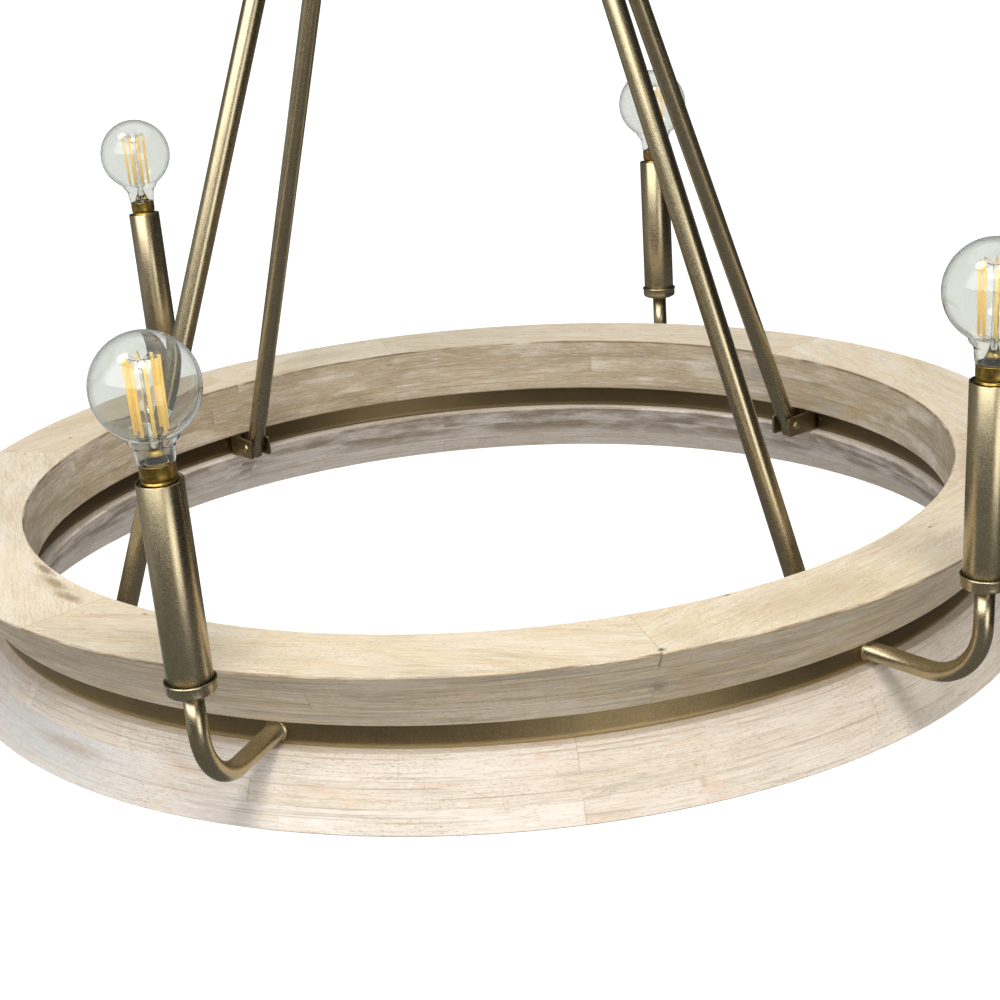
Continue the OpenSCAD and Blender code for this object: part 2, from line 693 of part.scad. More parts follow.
mounting_strap();
strap_nut();
strap_nipple();
canopy();
canopy_loop();
screw_collar();
for (i = [1:links]) chain_link(i);
hub_loop();
hub_body();
hub_cap();
hub_nut();
for (i = [1:rods]) rod(i);
for (i = [1:rods]) ring_clevis(i);
clevis_rivets();
pivot_screws();
pivot_nuts();
hoop();
hoop_wiring();
ring_screws();
for (i = [1:layers]) upper_layer(i);
for (i = [1:layers]) lower_layer(i);
for (i = [1:lights]) arm(i);
for (i = [1:lights]) cup(i);
cup_nuts();
sockets();
for (i = [1:lights]) sleeve(i);
for (i = [1:lights]) bulb(i);
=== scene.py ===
"""Wagon wheel chandelier: finishes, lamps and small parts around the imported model. The scene is in metres; the
profiles of the forms and the patterns of the finishes are in millimetres."""
import math

import bmesh
import bpy
from mathutils import Matrix, Vector


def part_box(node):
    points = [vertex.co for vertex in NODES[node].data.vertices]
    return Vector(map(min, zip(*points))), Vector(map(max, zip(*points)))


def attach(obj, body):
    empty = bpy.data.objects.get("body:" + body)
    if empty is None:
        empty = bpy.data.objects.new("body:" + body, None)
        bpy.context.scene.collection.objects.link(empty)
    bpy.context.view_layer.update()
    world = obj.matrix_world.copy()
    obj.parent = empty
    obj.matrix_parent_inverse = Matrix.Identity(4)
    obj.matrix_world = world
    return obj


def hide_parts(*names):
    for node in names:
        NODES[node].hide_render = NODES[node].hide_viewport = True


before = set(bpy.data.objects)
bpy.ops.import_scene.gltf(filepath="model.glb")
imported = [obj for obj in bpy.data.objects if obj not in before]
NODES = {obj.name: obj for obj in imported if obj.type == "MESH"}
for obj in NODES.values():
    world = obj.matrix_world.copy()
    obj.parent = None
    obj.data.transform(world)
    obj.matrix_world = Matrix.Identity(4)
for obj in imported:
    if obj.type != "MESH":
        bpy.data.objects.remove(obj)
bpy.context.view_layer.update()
MM = 0.001
LIGHTS = 6
RODS = 4


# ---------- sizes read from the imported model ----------

RING_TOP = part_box("upper_layer_1")[1].z
HOOP_LOW, HOOP_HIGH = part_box("hoop")
HOOP_Z = (HOOP_LOW.z + HOOP_HIGH.z) / 2
HOOP_R = HOOP_HIGH.x * 1000
HOOP_W = (HOOP_HIGH.z - HOOP_LOW.z) * 1000
LAYER_H = (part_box("upper_layer_2")[1].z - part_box("upper_layer_3")[1].z) * 1000


# ---------- camera ----------

# solved from the two ring circles, the four lights in view and the four rods of the photograph
CAMERA_AT = Vector((1.57009, -1.22669, RING_TOP + 0.62361))
CAMERA_LOOKS = Vector((-0.74431, 0.58738, -0.31778)).normalized()
CAMERA_UP = Vector((-0.20153, 0.25611, 0.94541))

camera_data = bpy.data.cameras.new("camera")
camera_data.sensor_width = 36
camera_data.lens = 76.46
camera = bpy.data.objects.new("camera", camera_data)
across = CAMERA_LOOKS.cross(CAMERA_UP).normalized()
turn = Matrix((across, across.cross(CAMERA_LOOKS), -CAMERA_LOOKS)).transposed()
camera.matrix_world = Matrix.Translation(CAMERA_AT) @ turn.to_4x4()
bpy.context.scene.collection.objects.link(camera)
bpy.context.scene.camera = camera


# ---------- shader tools ----------

def linear(code):
    """An sRGB hex colour as linear red, green, blue and alpha."""
    parts = [int(code[i:i + 2], 16) / 255 for i in (1, 3, 5)]
    return [c / 12.92 if c <= 0.04045 else ((c + 0.055) / 1.055) ** 2.4 for c in parts] + [1]


def add(tree, kind, inputs=None, stops=None, **settings):
    """Adds a shader node. inputs maps a socket's name or number to a value, a hex colour, or the node or output that
    feeds it; stops are the (place, hex colour) marks of a ramp."""
    made = tree.nodes.new("ShaderNode" + kind)
    for name, value in settings.items():
        setattr(made, name, value)
    for name, value in (inputs or {}).items():
        if isinstance(value, bpy.types.Node):
            value = value.outputs[0]
        if isinstance(value, bpy.types.NodeSocket):
            tree.links.new(value, made.inputs[name])
        else:
            made.inputs[name].default_value = linear(value) if isinstance(value, str) else value
    for number, (place, code) in enumerate(stops or []):
        marks = made.color_ramp.elements
        if number == len(marks):
            marks.new(1)
        marks[number].position = place
        marks[number].color = linear(code)
    return made


def new_tree(name, kind="materials"):
    """A new material or world with an empty node tree."""
    made = getattr(bpy.data, kind).new(name)
    made.use_nodes = True
    made.node_tree.nodes.clear()
    return made, made.node_tree


def wash(tree, under, over, pattern, start, full, most=1.0, how="MIX", where=None):
    """Lays one colour over another: none of it where the pattern is at start, most of it where it reaches full."""
    amount = add(tree, "MapRange", {"Value": pattern, "From Min": start, "From Max": full, "To Max": most})
    if where is not None:
        amount = add(tree, "Math", {0: amount, 1: where}, operation="MULTIPLY")
    return add(tree, "Mix", {0: amount, 6: under, 7: over}, data_type="RGBA", blend_type=how).outputs[2]


def place_mm(tree):
    """The point on the piece in millimetres, which stays with the piece when its body moves."""
    return add(tree, "VectorMath", {0: add(tree, "TexCoord").outputs["Object"], "Scale": 1000}, operation="SCALE")


def from_axis(tree, point):
    """How far the point is from the wheel's upright axis."""
    level = add(tree, "VectorMath", {0: point, 1: (1, 1, 0)}, operation="MULTIPLY")
    return add(tree, "VectorMath", {0: level}, operation="LENGTH").outputs["Value"]


def dress(material, *names):
    """Gives these CAD nodes this material."""
    for name in names:
        NODES[name].data.materials.clear()
        NODES[name].data.materials.append(material)


def numbered(name, count):
    """name_1, name_2 and so on."""
    return [f"{name}_{i}" for i in range(1, count + 1)]


# ---------- wood ----------

# a layer is six boards of 60 degrees
BOARD_TURN = 60
# radii at which lengths round the ring are taken, on the tops and on the walls, and the length of a block
LAYER_R = 500
WALL_GRAIN_R = 490
BLOCK_LEN = 300


def along_the_board(tree, point, joint):
    """The point turned into its own board (x across the grain, y along it, z up), the board's number and how far
    the nearest end of a board is, in millimetres."""
    split = add(tree, "SeparateXYZ", {0: point})
    angle = add(tree, "Math", {0: split.outputs[1], 1: split.outputs[0]}, operation="ARCTAN2")
    turns = add(tree, "Math", {0: angle, 1: math.radians(joint)}, operation="SUBTRACT")
    boards = add(tree, "Math", {0: turns, 1: math.radians(BOARD_TURN)}, operation="DIVIDE")
    number = add(tree, "Math", {0: boards}, operation="FLOOR")
    half = add(tree, "Math", {0: number, 1: 0.5}, operation="ADD")
    back = add(tree, "Math", {0: half, 1: -math.radians(BOARD_TURN), 2: -math.radians(joint)}, operation="MULTIPLY_ADD")
    turned = add(tree, "VectorRotate", {"Vector": point, "Angle": back}, rotation_type="Z_AXIS")
    to_end = add(tree, "Math", {0: boards, 1: 0.5}, operation="PINGPONG")
    return turned, number, add(tree, "Math", {0: to_end, 1: math.radians(BOARD_TURN) * LAYER_R}, operation="MULTIPLY")


def streaks(tree, point, across_mm, along_mm, detail=3, shift=(0, 0, 0), rough=0.55):
    """A pattern drawn out along the grain: about across_mm wide and along_mm long."""
    scaled = add(tree, "VectorMath", {0: point, 1: (1 / across_mm, 1 / along_mm, 1 / across_mm), 2: shift},
                 operation="MULTIPLY_ADD")
    return add(tree, "TexNoise", {"Vector": scaled, "Scale": 1, "Detail": detail, "Roughness": rough}).outputs[0]


def whitewashed_wood(name, joint, seed, coats, edge, marks):
    """Mango wood, brushed and whitewashed: cream boards under soft streaks of chalk, blue grey, tan and pink, with
    short dark pores, brown lines at the edges and a few filled knots. Nothing on it shines. The inner coats and a few
    marks are painted shade and painted light."""
    material, tree = new_tree(name)
    point = place_mm(tree)
    height = add(tree, "SeparateXYZ", {0: point}).outputs[2]
    turned, number, to_end = along_the_board(tree, point, joint)
    # every board is cut from its own stretch of the pattern
    jump = add(tree, "VectorMath", {0: (611, 377, 0), "Scale": number}, operation="SCALE")
    jump = add(tree, "VectorMath", {0: jump, 1: (0, 0, 91 * seed)}, operation="ADD")
    up = add(tree, "SeparateXYZ", {0: add(tree, "TexCoord").outputs["Normal"]}).outputs[2]
    level = add(tree, "Math", {0: up}, operation="ABSOLUTE")
    walls = add(tree, "MapRange", {"Value": level, "From Min": 0.95, "From Max": 0.7})
    tops = add(tree, "Math", {0: 1.0, 1: walls}, operation="SUBTRACT")
    # on the walls the grain is taken round the ring: radius, millimetres round, height
    radius = from_axis(tree, point)
    split = add(tree, "SeparateXYZ", {0: turned})
    angle = add(tree, "Math", {0: split.outputs[1], 1: split.outputs[0]}, operation="ARCTAN2")
    round_mm = add(tree, "Math", {0: angle, 1: WALL_GRAIN_R}, operation="MULTIPLY")
    around = add(tree, "CombineXYZ", {0: radius, 1: round_mm, 2: height})
    board = add(tree, "Mix", {0: walls, 4: turned, 5: around}, data_type="VECTOR").outputs[1]
    board = add(tree, "VectorMath", {0: board, 1: jump}, operation="ADD")
    # the walls that face the axis; the inner coats darken them as painted shade, in a mottle of their own
    inside = add(tree, "MapRange", {"Value": radius, "From Min": 476, "From Max": 466})
    inner = add(tree, "Math", {0: inside, 1: walls}, operation="MULTIPLY")
    sides = {"walls": walls, "tops": tops, "inner": inner}
    # a coat: where it lies (all, walls, inner walls or tops), mm across and along the grain, the pattern's level where
    # it starts and where it is full, how strong, its colour
    colour = coats[0]
    for k, (side, across_mm, along_mm, start, full, most, code) in enumerate(coats[1:]):
        cloud = streaks(tree, board, across_mm, along_mm, 4, (k * 13.7, k * 5.3, k * 9.1), 0.6)
        colour = wash(tree, colour, code, cloud, start, full, most, where=sides.get(side))
    # the walls show blocks about 300 mm long, each with its own tone
    length = add(tree, "SeparateXYZ", {0: board}).outputs[1]
    run = add(tree, "Math", {0: length, 1: 1 / BLOCK_LEN, 2: seed * 3.7}, operation="MULTIPLY_ADD")
    block, ends = (add(tree, "TexVoronoi", {"W": run, "Scale": 1, "Randomness": 0.5}, voronoi_dimensions="1D",
                       feature=feature) for feature in ("F1", "DISTANCE_TO_EDGE"))
    tone = add(tree, "SeparateXYZ", {0: block.outputs["Color"]})
    colour = wash(tree, colour, "#c9bda6", tone.outputs[0], 0.3, 1, 0.2, "MULTIPLY", walls)
    colour = wash(tree, colour, "#8a7860", ends.outputs["Distance"], 0.0024, 0.0012, 0.12, where=walls)
    # each board has its own tone, and a thin dark line at its ends
    tone = add(tree, "TexWhiteNoise", {"W": add(tree, "Math", {0: number, 1: seed * 7.3}, operation="ADD")},
               noise_dimensions="1D").outputs[0]
    colour = wash(tree, colour, "#efe9df", tone, 0, 1, 0.8, "MULTIPLY")
    colour = wash(tree, colour, "#857257", to_end, 0.8, 0.4, 0.25)
    # fibre, then pores drawn 1 mm wide so that they show, thicker in some patches than in others
    fibre = streaks(tree, board, 1.3, 22, 3, (7, 3, 1), 0.75)
    colour = wash(tree, colour, "#ab9472", fibre, 0.5, 0.75, 0.45)
    colour = wash(tree, colour, "#fcf9f2", fibre, 0.5, 0.25, 0.45)
    patch = streaks(tree, board, 20, 55, 3, (31, 2, 6))
    patch = add(tree, "MapRange", {"Value": patch, "From Min": 0.4, "From Max": 0.65, "To Min": 0.25})
    pores = streaks(tree, board, 1.0, 4, 3, (3, 11, 5), 0.75)
    colour = wash(tree, colour, "#8d7a62", pores, 0.54, 0.68, 0.75, where=patch)
    # thin dark lines drawn out along the walls
    drawn = streaks(tree, board, 2.2, 260, 3, (17, 4, 8), 0.6)
    colour = wash(tree, colour, "#8f7b60", drawn, 0.57, 0.72, 0.6, where=walls)
    # a thin line drawn just below a ring's top edge, broken here and there
    level, half, most, code = edge
    above = add(tree, "Math", {0: height, 1: level}, operation="SUBTRACT")
    off = add(tree, "Math", {0: above}, operation="ABSOLUTE")
    gaps = streaks(tree, board, 6, 50, 2, (9, 8, 7))
    gaps = add(tree, "MapRange", {"Value": gaps, "From Min": 0.38, "From Max": 0.55})
    colour = wash(tree, colour, code, off, half * 1.5, half * 0.5, most, where=gaps)
    # knots, stains and greyed patches, and a few patches of painted shade and painted light: bearing, radius and
    # height, half length, half height, how strong, colour
    ragged = streaks(tree, board, 3, 8, 2, (5, 5, 5))
    for bearing, radius, level, long_mm, high_mm, most, code in marks:
        turned = add(tree, "VectorRotate", {"Vector": point, "Angle": -math.radians(bearing)}, rotation_type="Z_AXIS")
        off = add(tree, "VectorMath", {0: turned, 1: (1 / high_mm, 1 / long_mm, 1 / high_mm),
                                       2: (-radius / high_mm, 0, -level / high_mm)}, operation="MULTIPLY_ADD")
        size = add(tree, "VectorMath", {0: off}, operation="LENGTH").outputs["Value"]
        size = add(tree, "Math", {0: ragged, 1: size}, operation="ADD")
        colour = wash(tree, colour, code, size, 1.6, 0.8, most)
    relief = add(tree, "Math", {0: pores, 1: -0.7, 2: fibre}, operation="MULTIPLY_ADD")
    bump = add(tree, "Bump", {"Height": relief, "Strength": 0.35, "Distance": 0.0004})
    add(tree, "OutputMaterial", {"Surface": add(tree, "BsdfPrincipled", {
        "Base Color": colour, "Roughness": 0.75, "Normal": bump, "Specular IOR Level": 0.25})})
    return material


# the inner coats are painted shade on the walls that face the axis, laid on in a mottle; the other coats are the wood's
# own streaks
UPPER_COATS = ["#eee4d0", ("all", 16, 240, 0.42, 0.66, 0.45, "#e6d5b1"), ("tops", 24, 120, 0.5, 0.68, 0.5, "#d3c4a6"),
               ("walls", 9, 110, 0.46, 0.64, 0.55, "#c9b795"), ("walls", 7, 90, 0.5, 0.62, 0.5, "#b7b4ae"),
               ("inner", 40, 160, 0.15, 0.55, 0.6, "#a39276"), ("tops", 8, 90, 0.56, 0.68, 0.35, "#bfbdb6"),
               ("all", 9, 70, 0.57, 0.68, 0.4, "#d9b594"), ("all", 20, 90, 0.5, 0.64, 0.6, "#f4eee4")]
LOWER_COATS = ["#f2ece5", ("all", 14, 200, 0.5, 0.68, 0.35, "#e9dcc6"), ("all", 9, 110, 0.54, 0.68, 0.35, "#d3c8b6"),
               ("all", 9, 80, 0.54, 0.64, 0.35, "#cccccb"), ("inner", 40, 200, 0.05, 0.45, 0.8, "#8e7e68"),
               ("all", 9, 60, 0.57, 0.68, 0.45, "#ecd0c0"), ("all", 22, 80, 0.44, 0.6, 0.8, "#f7f2ef")]
# bearing, radius, depth below the ring's top, half length, half height, strength, colour
UPPER_MARKS = [(a, r, 0, 3.5, 1.6, 0.75, "#5d4a36") for a, r in (
    (209, 479), (215.7, 501), (113.9, 483), (164.8, 502), (-67.6, 476), (-14.2, 453), (13.7, 474), (-77.3, 459))]
UPPER_MARKS += [(-24.9, 529, 1, 4.5, 4, 0.85, "#453322"), (-25.1, 531, 9, 1.0, 13, 0.6, "#5a4530"),
                (-24.7, 510, 38, 9, 8, 0.5, "#85807e"), (-21.9, 512, 42, 12, 5, 0.4, "#cf9a6c"),
                (-22, 505, 0, 22, 26, 0.35, "#cbb797"), (160, 446, 10, 42, 7, 0.4, "#9a8262"),
                (155.6, 446, 12, 6, 4, 0.6, "#7d6448"), (100, 446, 25, 60, 6, 0.5, "#b3b5b4"),
                (78, 446, 40, 26, 8, 0.5, "#b9965f"), (84, 446, 50, 20, 7, 0.5, "#b0b0ae"),
                (-98.5, 456, 0, 26, 5, 0.8, "#806446"), (-93.5, 463, 0, 28, 6, 0.75, "#886c4e"),
                # at -105 degrees a lighter patch on the top is painted light
                (-88.5, 471, 0, 24, 7, 0.7, "#907556"), (-105, 495, 0, 160, 45, 0.35, "#f4ebd8"),
                (-92, 466, 0, 60, 14, 0.3, "#b59f80"), (-80, 520, 25, 150, 40, 0.25, "#8f8470"),
                # at 38 degrees a darker patch on the top is painted shade
                (38, 492, 0, 130, 60, 0.6, "#ab9b80"), (-8, 495, 0, 90, 40, 0.4, "#bba989"),
                (165, 490, 0, 60, 25, 0.3, "#c0b49c")]
LOWER_MARKS = [(-52.3, 511, 35, 6, 6, 0.45, "#e6c697"), (-54.6, 514, 47, 5, 5, 0.4, "#d5c6ae"),
               (-21.2, 514, 42, 5, 5, 0.6, "#8a7a66"), (-20.4, 515, 45, 12, 8, 0.4, "#dfb296"),
               # at -88 degrees a broad blue grey patch on the lower ring's outer wall is painted shade
               (-35.3, 500, 6, 8, 4, 0.35, "#ecb39c"), (-88, 512, 30, 170, 45, 0.6, "#c3c7cc"),
               (-84, 512, 30, 60, 7, 0.45, "#a8927a"),
               (-62, 510, 14, 40, 8, 0.4, "#ccd0d3"), (-70, 512, 40, 30, 7, 0.35, "#c2a27c"),
               (150, 455, 32, 50, 6, 0.5, "#a98a66"), (135, 455, 44, 44, 5, 0.5, "#a8adae"),
               (118, 455, 20, 60, 6, 0.4, "#b08f7c"), (108, 455, 36, 30, 6, 0.4, "#86837a")]
# how far the drawn line lies below the ring's top, its half height, strength and colour
UPPER_EDGE = (1.2, 0.8, 0.8, "#6b5238")
LOWER_EDGE = (3.6, 0.5, 0.4, "#b98463")
for ring, coats, joint, marks, edge, seed in (("upper", UPPER_COATS, -25, UPPER_MARKS, UPPER_EDGE, 0),
                                              ("lower", LOWER_COATS, 28, LOWER_MARKS, LOWER_EDGE, 10)):
    ring_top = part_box(f"{ring}_layer_1")[1].z * 1000
    depth_of_edge, half, most, code = edge
    for layer in (1, 2, 3):
        # a layer's own marks, and those of its neighbours that reach into it
        own = [(a, r, ring_top - depth, *rest) for a, r, depth, *rest in marks
               if (layer - 1) * LAYER_H - 8 < depth < layer * LAYER_H + 8]
        # the middle layer's joints lie half a board on, and only the top layer has the drawn line
        finish = whitewashed_wood(
            f"whitewashed_mango_{ring}_{layer}", joint + (BOARD_TURN / 2 if layer == 2 else 0), seed + layer, coats,
            (ring_top - depth_of_edge, half, most if layer == 1 else 0.0, code), own)
        dress(finish, f"{ring}_layer_{layer}")


# ---------- metal ----------

def antique_brass(name, drawn, base="#bcae8d", dark="#6f6248", rough=0.28, stretch=0.75, foot=None):
    """Steel in an antique brass plating, brushed and lacquered: the brushing draws every light out into a soft bright
    band along the tube, and what stands round it in the dark leaves the rest olive brown."""
    material, tree = new_tree(name)
    point = place_mm(tree)
    # brush marks about 0.5 mm across, drawn coarser than the real ones so that they show
    brushed = add(tree, "VectorMath", {0: point, 1: (2.2, 2.2, 0.2 if drawn else 1.6)}, operation="MULTIPLY")
    marks = add(tree, "TexNoise", {"Vector": brushed, "Scale": 1, "Detail": 4, "Roughness": 0.75}).outputs[0]
    sand = add(tree, "TexNoise", {"Vector": point, "Scale": 0.9, "Detail": 4, "Roughness": 0.85}).outputs[0]
    cloud = add(tree, "TexNoise", {"Vector": point, "Scale": 0.03, "Detail": 4, "Roughness": 0.65}).outputs[0]
    colour = wash(tree, base, dark, cloud, 0.4, 0.8, 0.3)
    colour = wash(tree, colour, dark, marks, 0.4, 0.75, 0.45)
    colour = wash(tree, colour, "#dccfae", sand, 0.5, 0.75, 0.4)
    if foot:
        # painted reflection: brighter towards its lower edge, for the cream top of the lower ring below it; painted
        # shade: darker towards the wheel's axis, on its inner face
        height = add(tree, "SeparateXYZ", {0: point}).outputs[2]
        colour = wash(tree, colour, "#e6d4a8", height, foot + 5, foot, 0.7)
        colour = wash(tree, colour, "#4e412b", from_axis(tree, point), 470, 463, 0.6)
    relief = add(tree, "Math", {0: marks, 1: sand}, operation="ADD")
    bump = add(tree, "Bump", {"Height": relief, "Strength": 0.12, "Distance": 0.0003})
    gloss = add(tree, "MapRange", {"Value": sand, "From Min": 0.3, "From Max": 0.7,
                                   "To Min": rough - 0.08, "To Max": rough + 0.08})
    sockets = {"Base Color": colour, "Metallic": 1.0, "Roughness": gloss, "Normal": bump}
    if drawn:
        sockets["Anisotropic"] = stretch
        sockets["Tangent"] = add(tree, "VectorTransform", {0: (0, 0, 1)}, vector_type="VECTOR",
                                 convert_from="OBJECT", convert_to="WORLD")
    add(tree, "OutputMaterial", {"Surface": add(tree, "BsdfPrincipled", sockets)})
    return material


satin_brass = antique_brass("antique_brass_satin", False)
turned_brass = antique_brass("antique_brass_drawn", True)
# the clevises and the hoop take darker copies of the brass: their darker base colours are painted shade, for the shade
# they sit in between the wooden rings
clevis_brass_painted_shade = antique_brass("antique_brass_clevis_painted_shade", False, "#8f7e5c", "#4d402a", 0.4)
hoop_brass = antique_brass("antique_brass_hoop", False, "#8f7c58", "#54452e", 0.4, foot=HOOP_LOW.z * 1000)
dress(hoop_brass, "hoop")
dress(satin_brass, "canopy", "canopy_loop", "screw_collar", "hub_loop", "hub_body", "hub_cap", "hub_nut",
      *numbered("chain_link", 3))


def plated_steel(name, colour, rough):
    """Small plated steel hardware: brighter than the tubes and a little mottled."""
    material, tree = new_tree(name)
    spots = add(tree, "TexNoise", {"Vector": place_mm(tree), "Scale": 0.8, "Detail": 3}).outputs[0]
    gloss = add(tree, "MapRange", {"Value": spots, "To Min": rough - 0.08, "To Max": rough + 0.08})
    add(tree, "OutputMaterial", {"Surface": add(tree, "BsdfPrincipled", {
        "Base Color": wash(tree, colour, "#6f6a5e", spots, 0.3, 1), "Metallic": 1.0, "Roughness": gloss})})
    return material


screw_brass = plated_steel("brass_plated_screws", "#b7a987", 0.3)
dress(screw_brass, "pivot_screws", "pivot_nuts")
dress(plated_steel("zinc_plated_steel", "#b4b7b8", 0.35), "mounting_strap", "strap_nut", "strap_nipple", "ring_screws")


def moulded(name, colour, rough):
    """Moulded plastic: an even colour with a faint orange peel."""
    material, tree = new_tree(name)
    peel = add(tree, "TexNoise", {"Vector": place_mm(tree), "Scale": 1.5, "Detail": 2}).outputs[0]
    bump = add(tree, "Bump", {"Height": peel, "Strength": 0.1, "Distance": 0.0002})
    add(tree, "OutputMaterial", {"Surface": add(tree, "BsdfPrincipled", {
        "Base Color": colour, "Roughness": rough, "Normal": bump})})
    return material


phenolic = moulded("phenolic_socket", "#2b2622", 0.4)
dress(moulded("wire_insulation", "#1d1d1e", 0.5), "hoop_wiring")


# ---------- turned and bent forms ----------

def turned_form(name, profile, rings=72, closed=False):
    """A lathe-turned mesh from (radius, height) points in millimetres; closed joins the last point to the first."""
    form = bmesh.new()
    rows = []
    for radius, height in profile:
        if radius < 1e-6:
            rows.append([form.verts.new((0, 0, height * MM))])
        else:
            rows.append([form.verts.new((radius * MM * math.cos(2 * math.pi * k / rings),
                                         radius * MM * math.sin(2 * math.pi * k / rings), height * MM))
                         for k in range(rings)])
    pairs = list(zip(rows, rows[1:])) + ([(rows[-1], rows[0])] if closed else [])
    for lower, upper in pairs:
        for k in range(rings):
            corners = [lower[k % len(lower)], lower[(k + 1) % len(lower)],
                       upper[(k + 1) % len(upper)], upper[k % len(upper)]]
            corners = list(dict.fromkeys(corners))
            if len(corners) > 2:
                form.faces.new(corners)
    bmesh.ops.recalc_face_normals(form, faces=form.faces)
    mesh = bpy.data.meshes.new(name)
    form.to_mesh(mesh)
    form.free()
    mesh.shade_smooth()
    return mesh


def bent_tube(name, path, sides=40):
    """A tube along (x, z, direction in degrees from x up to z, radius) points in millimetres, closed at both ends."""
    form = bmesh.new()
    rows = []
    for x, z, direction, radius in path:
        a = math.radians(direction)
        rows.append([form.verts.new(((x - math.sin(a) * radius * math.cos(b)) * MM, radius * math.sin(b) * MM,
                                     (z + math.cos(a) * radius * math.cos(b)) * MM))
                     for b in (2 * math.pi * k / sides for k in range(sides))])
    for lower, upper in zip(rows, rows[1:]):
        for k in range(sides):
            form.faces.new((lower[k], lower[(k + 1) % sides], upper[(k + 1) % sides], upper[k]))
    form.faces.new(rows[0])
    form.faces.new(rows[-1])
    bmesh.ops.recalc_face_normals(form, faces=form.faces)
    mesh = bpy.data.meshes.new(name)
    form.to_mesh(mesh)
    form.free()
    mesh.shade_smooth()
    return mesh


def place(name, mesh, matrix, body, slot, *nodes):
    """Puts a piece that stands for these CAD nodes at its place and on its body."""
    piece = bpy.data.objects.new(name, mesh)
    piece.matrix_world = matrix
    bpy.context.scene.collection.objects.link(piece)
    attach(piece, body)
    if nodes:
        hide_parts(*nodes)
    return piece


def about_z(number, count):
    """The turn that takes the first of count equal places round the wheel to this one."""
    return Matrix.Rotation(2 * math.pi * (number - 1) / count, 4, "Z")


# ---------- rods and clevises ----------

# the rods are 19 mm tubes between the ears of bent U brackets, each on its pin
ROD_R, ROD_LEN, ROD_FOOT, ROD_HEAD = 9.5, 1010, 9.5, 10
ROD_WALL, NECK_R, NECK_DOWN = 1.5, 8, 15
HUB_PIVOT_R = 52
CLEVIS_REACH = 34.5
HOOP_IN = HOOP_R - HOOP_W
PIVOT_R = HOOP_IN - CLEVIS_REACH
ROD_LEAN = math.asin((PIVOT_R - HUB_PIVOT_R) / ROD_LEN)
rod_mesh = turned_form("rod_tube", [
    (ROD_R - 0.5, -ROD_FOOT), (ROD_R, 0.5 - ROD_FOOT), (ROD_R, ROD_LEN - NECK_DOWN - 3), (NECK_R, ROD_LEN - NECK_DOWN),
    (NECK_R, ROD_LEN + ROD_HEAD), (NECK_R - ROD_WALL, ROD_LEN + ROD_HEAD), (NECK_R - ROD_WALL, ROD_LEN - NECK_DOWN - 1),
    (ROD_R - ROD_WALL, ROD_LEN - NECK_DOWN - 4), (ROD_R - ROD_WALL, -ROD_FOOT)], 48, closed=True)
rod_mesh.materials.append(turned_brass)

# the clevis is one strip: thickness, half width outside, bend, the ears' tips, half height and rounded corner
EAR_T, EAR_OUT, BEND_R, EAR_TIP, EAR_HALF, EAR_CORNER = 3, 13, 6, PIVOT_R - 11.5, 10.5, 4
CLEVIS_BACK = math.sqrt(HOOP_IN ** 2 - (EAR_OUT - BEND_R) ** 2)
bend_x = CLEVIS_BACK - BEND_R
bend_y = EAR_OUT - BEND_R
half_path = [(EAR_TIP + d, EAR_OUT, 0, 1) for d in (0, 0.4, 1, 1.5, 2.5, EAR_CORNER)]
half_path += [(bend_x, bend_y, math.cos(a), math.sin(a)) for a in (math.pi / 2 * (1 - k / 8) for k in range(9))]
form = bmesh.new()
rows = []
for side in (1, -1):
    for x, y, nx, ny in half_path[::side]:
        outer = (x + BEND_R * nx, y + BEND_R * ny) if y == bend_y else (x, y)
        inner = (outer[0] - EAR_T * nx, outer[1] - EAR_T * ny)
        d = x - EAR_TIP if y == EAR_OUT else EAR_CORNER
        drop = EAR_CORNER - math.sqrt(EAR_CORNER ** 2 - (EAR_CORNER - d) ** 2)
        head, foot = EAR_HALF - drop, -EAR_HALF + max(0, 1.5 - d)
        rows.append([form.verts.new((px * MM, side * py * MM, level * MM))
                     for (px, py), level in ((outer, head), (outer, foot), (inner, foot), (inner, head))])
for row, following in zip(rows, rows[1:]):
    for k in range(4):
        form.faces.new((row[k], row[(k + 1) % 4], following[(k + 1) % 4], following[k]))
form.faces.new(rows[0])
form.faces.new(rows[-1])
bmesh.ops.remove_doubles(form, verts=form.verts, dist=1e-6)
bmesh.ops.recalc_face_normals(form, faces=form.faces)
clevis_mesh = bpy.data.meshes.new("bent_clevis")
form.to_mesh(clevis_mesh)
form.free()
clevis_mesh.materials.append(clevis_brass_painted_shade)

